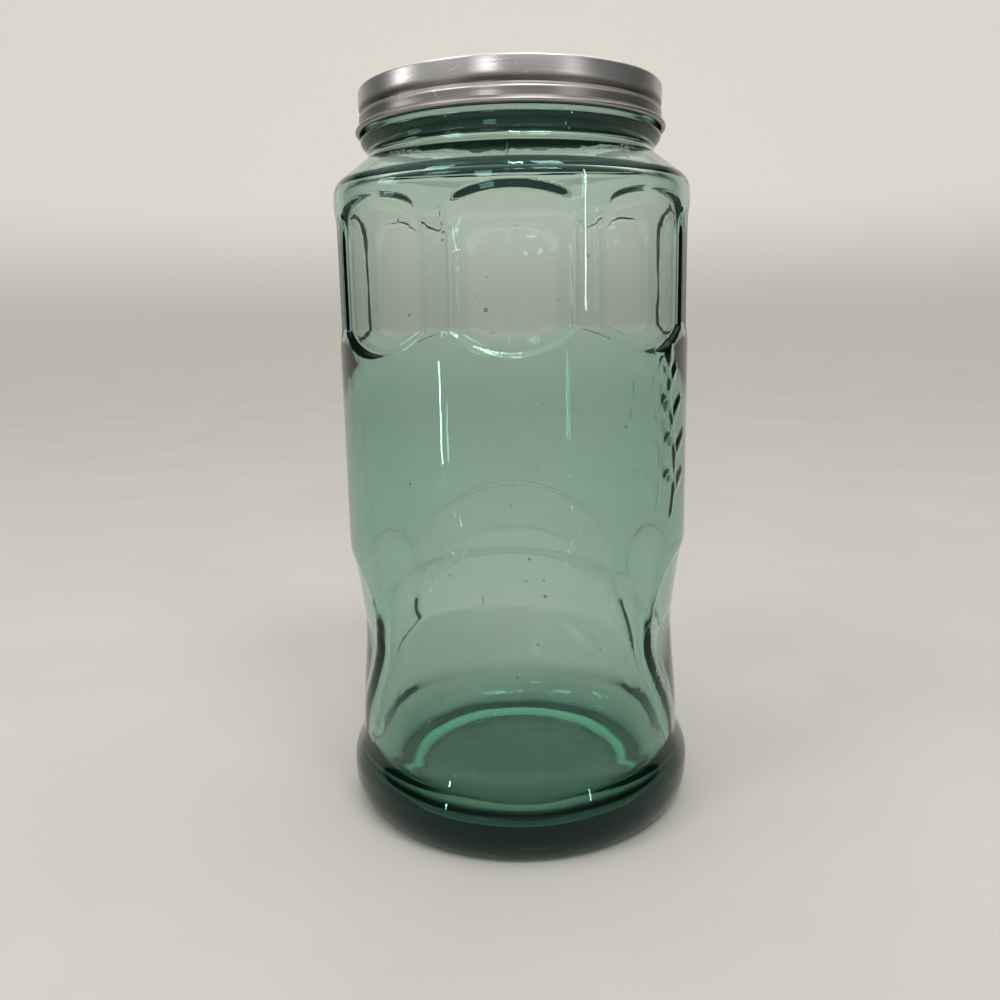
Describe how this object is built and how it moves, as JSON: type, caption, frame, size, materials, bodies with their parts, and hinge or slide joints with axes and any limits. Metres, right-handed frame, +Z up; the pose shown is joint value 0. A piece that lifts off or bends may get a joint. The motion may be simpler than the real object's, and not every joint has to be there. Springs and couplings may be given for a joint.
{
  "type": "glass storage jar",
  "caption": "Tall round storage jar of green glass with panels round the shoulder, arched recesses at the waist, a wide mouth and a metal screw lid.",
  "frame": {"origin": "centre of the bearing ring under the foot, on the plane the jar stands on", "axes": "+Z up along the jar's axis towards the lid; -Y is the front, the side that faces the viewer in the picture; +X is to the viewer's right"},
  "size_m": [0.124, 0.124, 0.2469],
  "materials": {
    "green_glass": "clear, smooth, bottle green tint",
    "lid_metal": "satin tinplate"
  },
  "bodies": {
    "root": {"glass_jar": "green_glass", "metal_lid": "lid_metal"}
  },
  "joints": []
}
